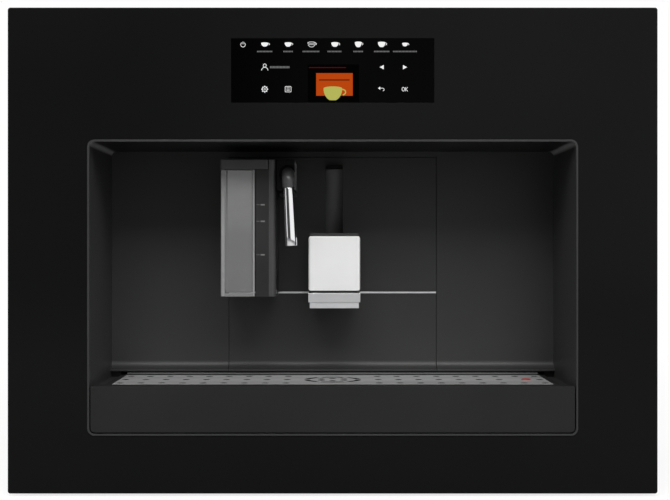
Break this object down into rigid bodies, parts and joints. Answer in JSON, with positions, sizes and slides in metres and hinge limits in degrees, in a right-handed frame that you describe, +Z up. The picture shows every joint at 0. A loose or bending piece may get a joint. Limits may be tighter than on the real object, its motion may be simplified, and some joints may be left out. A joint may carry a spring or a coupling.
{
  "type": "built-in coffee machine",
  "caption": "Built-in bean-to-cup coffee machine for a kitchen column, with touch panel, height-adjustable coffee spouts, milk carafe and drip tray, on pull-out slides.",
  "frame": {"origin": "middle of the footprint, on the floor of the niche", "axes": "+X to the right seen from the front, +Y back into the niche, +Z up"},
  "size_m": [0.595, 0.46, 0.447],
  "materials": {
    "black_glass": "polished",
    "satin_black": "satin",
    "black_plastic": "satin",
    "recess_grey": "satin",
    "dark_plastic": "fine grained",
    "grip_plastic": "satin",
    "satin_steel": "satin",
    "grille_steel": "brushed",
    "chrome": "polished",
    "galvanised": "zinc plated",
    "clear_plastic": "clear",
    "smoked_plastic": "smoked",
    "red_plastic": "glossy",
    "board_green": "lacquered",
    "cast_aluminium": "as cast",
    "white_nylon": "moulded",
    "silicone_hose": "matte",
    "motor_steel": "machined"
  },
  "bodies": {
    "base": {"base_frame": "galvanised", "slide_outer_left": "galvanised", "slide_outer_right": "galvanised"},
    "slide_middles": {"slide_middle_left": "galvanised", "slide_middle_right": "galvanised"},
    "machine": {"slide_inner_left": "galvanised", "slide_inner_right": "galvanised", "base_pan": "galvanised", "deck": "galvanised", "side_panel_left": "satin_black", "side_panel_right": "satin_black", "rear_panel": "satin_black", "top_cover": "satin_black", "front_frame": "black_plastic", "front_glass": "black_glass", "touch_panel": "black_glass", "display_module": "black_plastic", "control_board": "board_green", "recess_liner": "recess_grey", "upper_fascia": "recess_grey", "fascia_trim": "chrome", "lower_fascia": "recess_grey", "spout_channel": "recess_grey", "carafe_dock": "dark_plastic", "grinder_motor": "motor_steel", "grinder_housing": "cast_aluminium", "bean_hopper": "smoked_plastic", "brew_unit_frame": "dark_plastic", "brew_drive": "motor_steel", "water_pump": "motor_steel", "thermoblock": "cast_aluminium", "steam_pipe": "silicone_hose", "coffee_hose": "silicone_hose", "water_hose": "silicone_hose", "tank_seat": "dark_plastic", "power_inlet": "dark_plastic"},
    "dispenser": {"dispenser_body": "dark_plastic", "dispenser_plate": "satin_steel", "dispenser_base": "chrome", "coffee_outlet": "dark_plastic"},
    "milk_carafe": {"milk_jug": "clear_plastic", "jug_grip": "grip_plastic", "jug_lid": "grip_plastic", "frother_head": "dark_plastic"},
    "milk_spout": {"milk_spout_elbow": "grip_plastic", "milk_spout_tube": "chrome"},
    "drip_tray": {"tray_front": "black_plastic", "tray_basin": "black_plastic", "drip_grille": "grille_steel"},
    "float": {"tray_float": "red_plastic"},
    "hopper_lid": {"bean_hopper_lid": "smoked_plastic"},
    "knob": {"grind_knob": "dark_plastic"},
    "flap": {"ground_coffee_flap": "dark_plastic"},
    "chamber": {"brew_chamber": "white_nylon"},
    "burr": {"grinder_burr": "motor_steel"},
    "tank": {"water_tank": "clear_plastic"},
    "tank_lid": {"water_tank_lid": "dark_plastic"},
    "grounds": {"grounds_container": "dark_plastic"},
    "door": {"service_door": "satin_black"},
    "rocker": {"power_switch": "dark_plastic"}
  },
  "joints": [
    {"name": "machine_slide", "type": "slide", "parent": "base", "child": "machine", "axis": [0, -1, 0], "range_m": [0, 0.3]},
    {"name": "middle_slide", "type": "slide", "parent": "base", "child": "slide_middles", "axis": [0, -1, 0], "range_m": [0, 0.155]},
    {"name": "dispenser_lift", "type": "slide", "parent": "machine", "child": "dispenser", "axis": [0, 0, 1], "range_m": [0, 0.05]},
    {"name": "carafe_pull", "type": "slide", "parent": "machine", "child": "milk_carafe", "axis": [0, -1, 0], "range_m": [0, 0.09]},
    {"name": "milk_spout_swing", "type": "hinge", "parent": "milk_carafe", "child": "milk_spout", "pos_m": [-0.0424, -0.187, 0.2976], "axis": [0, -1, 0], "range_deg": [-4, 35]},
    {"name": "tray_slide", "type": "slide", "parent": "machine", "child": "drip_tray", "axis": [0, -1, 0], "range_m": [0, 0.215]},
    {"name": "float_rise", "type": "slide", "parent": "drip_tray", "child": "float", "axis": [0, 0, 1], "range_m": [0, 0.008]},
    {"name": "hopper_lid_hinge", "type": "hinge", "parent": "machine", "child": "hopper_lid", "pos_m": [-0.01, 0.0923, 0.4449], "axis": [-1, 0, 0], "range_deg": [0, 100]},
    {"name": "grind_knob_turn", "type": "hinge", "parent": "machine", "child": "knob", "pos_m": [-0.105, 0.015, 0.44], "axis": [0, 0, 1], "range_deg": [0, 120]},
    {"name": "flap_hinge", "type": "hinge", "parent": "machine", "child": "flap", "pos_m": [0.212, 0.0313, 0.4438], "axis": [-1, 0, 0], "range_deg": [0, 100]},
    {"name": "chamber_lift", "type": "slide", "parent": "machine", "child": "chamber", "axis": [0, 0, 1], "range_m": [0, 0.036]},
    {"name": "burr_spin", "type": "hinge", "parent": "machine", "child": "burr", "pos_m": [-0.01, 0.015, 0.34], "axis": [0, 0, 1], "continuous": true},
    {"name": "tank_pull", "type": "slide", "parent": "machine", "child": "tank", "axis": [-1, 0, 0], "range_m": [0, 0.2]},
    {"name": "tank_lid_hinge", "type": "hinge", "parent": "tank", "child": "tank_lid", "pos_m": [-0.21, 0.035, 0.3055], "axis": [0, 1, 0], "range_deg": [0, 100]},
    {"name": "grounds_pull", "type": "slide", "parent": "machine", "child": "grounds", "axis": [1, 0, 0], "range_m": [0, 0.14]},
    {"name": "door_hinge", "type": "hinge", "parent": "machine", "child": "door", "pos_m": [0.2797, 0.0684, 0.2875], "axis": [0, 0, 1], "range_deg": [0, 110]},
    {"name": "switch_rock", "type": "hinge", "parent": "machine", "child": "rocker", "pos_m": [-0.205, 0.2205, 0.175], "axis": [-1, 0, 0], "range_deg": [0, 12]}
  ],
  "couplings": [
    {"joint": "middle_slide", "follows": "machine_slide", "ratio": 0.5}
  ]
}
